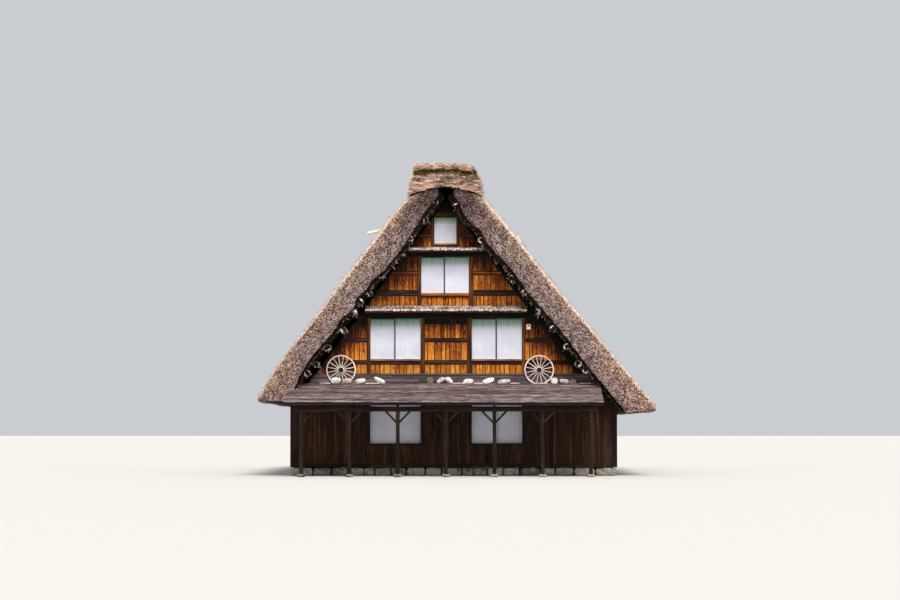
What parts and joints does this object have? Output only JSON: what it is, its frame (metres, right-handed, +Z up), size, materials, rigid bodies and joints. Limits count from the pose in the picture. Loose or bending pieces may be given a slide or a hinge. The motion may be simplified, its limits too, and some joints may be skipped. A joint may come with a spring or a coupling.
{
  "type": "thatched minka farmhouse",
  "caption": "Steep-roofed thatched minka farmhouse: thick straw slopes, board gables with sliding paper windows, shingled pents and low board-roofed lean-tos.",
  "frame": {"origin": "middle of the house on the ground, at the bottom centre of its bounding box", "axes": "+Z up, the gable with the cart wheels faces -Y, +X runs to the right along that gable, the ridge runs along Y"},
  "size_m": [14.1084, 21, 11.1],
  "materials": {
    "thatch": "weathered reed thatch, grey brown, cut straw ends at the verges",
    "ridge_straw": "newer rice straw, light brown, with some moss on top",
    "dark_timber": "smoke-dark rough timber",
    "wall_boards": "sun-reddened cedar boards, brighter at the foot of each bay",
    "plain_timber": "plain weathered timber",
    "shoji_paper": "white paper on a fine wooden lattice",
    "shingles": "weathered pale grey split shingles",
    "grey_board": "weathered grey brown boards",
    "pale_wood": "bleached bare wood",
    "footing_stone": "rough grey stone",
    "cream_plastic": "cream moulded plastic"
  },
  "bodies": {
    "root": {"thatch_left_slope": "thatch", "thatch_right_slope": "thatch", "ridge_cap": "ridge_straw", "ridge_cap_top": "ridge_straw", "left_roof_frame": "dark_timber", "right_roof_frame": "dark_timber", "roof_pole": "pale_wood", "front_gable_frame": "dark_timber", "front_wall_storey_2": "wall_boards", "front_wall_storey_3": "wall_boards", "front_wall_storey_4": "wall_boards", "front_shoji_storey_2_left": "shoji_paper", "front_shoji_storey_2_right": "shoji_paper", "front_shoji_storey_3": "shoji_paper", "front_shoji_storey_4": "shoji_paper", "front_pent_lower": "shingles", "front_pent_upper": "shingles", "front_kick_board": "grey_board", "front_leanto_roof": "grey_board", "front_leanto_frame": "plain_timber", "front_ground_wall": "plain_timber", "front_ground_shoji": "shoji_paper", "rear_gable_frame": "dark_timber", "rear_wall_storey_2": "wall_boards", "rear_wall_storey_3": "wall_boards", "rear_wall_storey_4": "wall_boards", "rear_shoji_storey_2_left": "shoji_paper", "rear_shoji_storey_2_right": "shoji_paper", "rear_shoji_storey_3": "shoji_paper", "rear_shoji_storey_4": "shoji_paper", "rear_pent_lower": "shingles", "rear_pent_upper": "shingles", "rear_kick_board": "grey_board", "rear_leanto_roof": "grey_board", "rear_leanto_frame": "plain_timber", "rear_ground_wall": "plain_timber", "rear_ground_shoji": "shoji_paper", "left_ground_wall": "plain_timber", "left_ground_shoji": "shoji_paper", "right_ground_wall": "plain_timber", "right_ground_shoji_front": "shoji_paper", "right_ground_shoji_rear": "shoji_paper", "entrance_leaf_outer": "plain_timber", "entrance_leaf_inner": "plain_timber", "left_post_row": "dark_timber", "right_post_row": "dark_timber", "footing": "footing_stone", "ground_floor": "plain_timber", "second_floor": "plain_timber", "third_floor": "plain_timber", "attic_floor": "plain_timber", "cart_wheel_left": "pale_wood", "cart_wheel_right": "pale_wood", "meter_box": "cream_plastic"}
  },
  "joints": []
}
